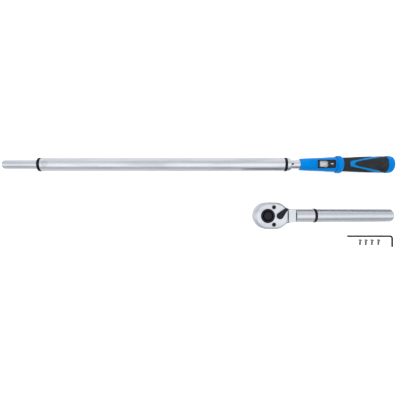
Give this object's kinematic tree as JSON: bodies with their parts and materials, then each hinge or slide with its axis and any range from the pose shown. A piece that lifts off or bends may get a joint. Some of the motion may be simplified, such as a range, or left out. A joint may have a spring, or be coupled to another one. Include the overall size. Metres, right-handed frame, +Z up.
{
  "type": "torque wrench",
  "caption": "Click torque wrench bar with scale window and twist grip, with a separate plug-on reversible ratchet head, hex key and countersunk locking screws.",
  "frame": {"origin": "centre of the bounding box of the whole set as it lies on a bench, on the bench's surface", "axes": "+X along the bar from the drive rod's tip to the end cap; +Y from the loose screws towards the bar; +Z up, the way the scale window and the ratchet's cover face"},
  "size_m": [0.9862, 0.231, 0.0575],
  "materials": {
    "chrome": "satin chrome plate, fine lengthwise grain",
    "satin": "satin",
    "steel": "machined, plain",
    "black": "black oxide",
    "rubber": "matt black rubber",
    "blue": "semi-gloss blue plastic",
    "inlay": "matt blue plastic",
    "scale": "matt light grey",
    "bezel": "dark semi-gloss",
    "lens": "clear",
    "brass": "machined"
  },
  "bodies": {
    "bar": {"outer_tube": "chrome", "front_ring": "rubber", "pivot_pin": "steel", "plunger": "steel", "main_spring": "steel", "ball_cage": "brass", "thrust_race_rear": "steel", "rear_ring": "rubber", "rear_plug": "chrome", "neck_screw": "black", "scale_housing": "blue", "window_bezel": "bezel", "window_lens": "lens", "index_mark": "scale", "lock_spring": "steel"},
    "lever": {"drive_lever": "chrome"},
    "toggle": {"toggle": "steel"},
    "seat": {"spring_seat": "brass"},
    "carriage": {"scale_carriage": "scale"},
    "grip": {"grip_core": "blue", "grip_rubber": "rubber", "grip_inlay": "inlay", "grip_nut": "steel", "end_cap": "blue", "cap_screw": "black", "spindle": "steel", "thrust_race_front": "steel"},
    "lock": {"lock_ring": "blue"},
    "ratchet": {"ratchet_head": "chrome", "cover_plate": "satin", "cover_screw_1": "black", "cover_screw_2": "black", "shank_ring": "rubber", "shank_tube": "chrome", "shank_pin": "steel", "detent_pin": "steel", "detent_spring": "steel"},
    "gear": {"drive_gear": "black", "button_spring": "steel"},
    "button": {"release_button": "black"},
    "ball": {"retaining_ball": "steel"},
    "switch": {"reversing_lever": "black"},
    "pawl": {"pawl": "steel"},
    "key": {"hex_key": "black"},
    "screw_1": {"locking_screw_1": "steel"},
    "screw_2": {"locking_screw_2": "steel"},
    "screw_3": {"locking_screw_3": "steel"},
    "screw_4": {"locking_screw_4": "steel"}
  },
  "joints": [
    {"name": "lever_tilt", "type": "hinge", "parent": "bar", "child": "lever", "pos_m": [-0.3831, 0.0935, 0.022], "axis": [0, 0, 1], "range_deg": [-1.5, 1.5], "stiffness_Nm_per_rad": 60},
    {"name": "toggle_tilt", "type": "hinge", "parent": "bar", "child": "toggle", "pos_m": [-0.2931, 0.0935, 0.022], "axis": [0, 0, 1], "range_deg": [-10, 10]},
    {"name": "grip_turn", "type": "hinge", "parent": "bar", "child": "grip", "pos_m": [0.4069, 0.0935, 0.022], "axis": [-1, 0, 0], "range_deg": [0, 2790]},
    {"name": "seat_slide", "type": "slide", "parent": "bar", "child": "seat", "axis": [-1, 0, 0], "range_m": [0, 0.0156], "deforming": ["main_spring"]},
    {"name": "carriage_slide", "type": "slide", "parent": "bar", "child": "carriage", "axis": [-1, 0, 0], "range_m": [0, 0.0156]},
    {"name": "lock_slide", "type": "slide", "parent": "bar", "child": "lock", "axis": [-1, 0, 0], "range_m": [0, 0.0035], "stiffness_N_per_m": 600, "springref_m": -0.002, "deforming": ["lock_spring"]},
    {"name": "ratchet_lift", "type": "slide", "parent": "bar", "child": "ratchet", "axis": [0, 0, 1], "range_m": [0, 0.12]},
    {"name": "drive_turn", "type": "hinge", "parent": "ratchet", "child": "gear", "pos_m": [0.1601, -0.0335, 0.0396], "axis": [0.0738, 0, 0.9973], "continuous": true},
    {"name": "button_press", "type": "slide", "parent": "gear", "child": "button", "axis": [-0.0738, 0, -0.9973], "range_m": [0, 0.003], "stiffness_N_per_m": 400, "springref_m": -0.002, "deforming": ["button_spring"]},
    {"name": "ball_slide", "type": "slide", "parent": "gear", "child": "ball", "axis": [0, -1, 0], "range_m": [0, 0.0011]},
    {"name": "reverse_turn", "type": "hinge", "parent": "ratchet", "child": "switch", "pos_m": [0.18942, -0.0335, 0.03743], "axis": [0.0738, 0, 0.9973], "range_deg": [-92, 0]},
    {"name": "pawl_rock", "type": "hinge", "parent": "ratchet", "child": "pawl", "pos_m": [0.18942, -0.0335, 0.03743], "axis": [0.0738, 0, 0.9973], "range_deg": [-10.1, 0]},
    {"name": "key_lift", "type": "slide", "parent": "bar", "child": "key", "axis": [0, 0, 1], "range_m": [0, 0.06]},
    {"name": "screw_lift_1", "type": "slide", "parent": "bar", "child": "screw_1", "axis": [0, 0, 1], "range_m": [0, 0.05]},
    {"name": "screw_lift_2", "type": "slide", "parent": "bar", "child": "screw_2", "axis": [0, 0, 1], "range_m": [0, 0.05]},
    {"name": "screw_lift_3", "type": "slide", "parent": "bar", "child": "screw_3", "axis": [0, 0, 1], "range_m": [0, 0.05]},
    {"name": "screw_lift_4", "type": "slide", "parent": "bar", "child": "screw_4", "axis": [0, 0, 1], "range_m": [0, 0.05]}
  ],
  "couplings": [
    {"joint": "toggle_tilt", "follows": "lever_tilt", "ratio": -6.5},
    {"joint": "seat_slide", "follows": "grip_turn", "m_per_rad": 0.00031831},
    {"joint": "carriage_slide", "follows": "grip_turn", "m_per_rad": 0.00031831},
    {"joint": "ball_slide", "follows": "button_press", "ratio": 0.35},
    {"joint": "pawl_rock", "follows": "reverse_turn", "ratio": 0.1087}
  ]
}
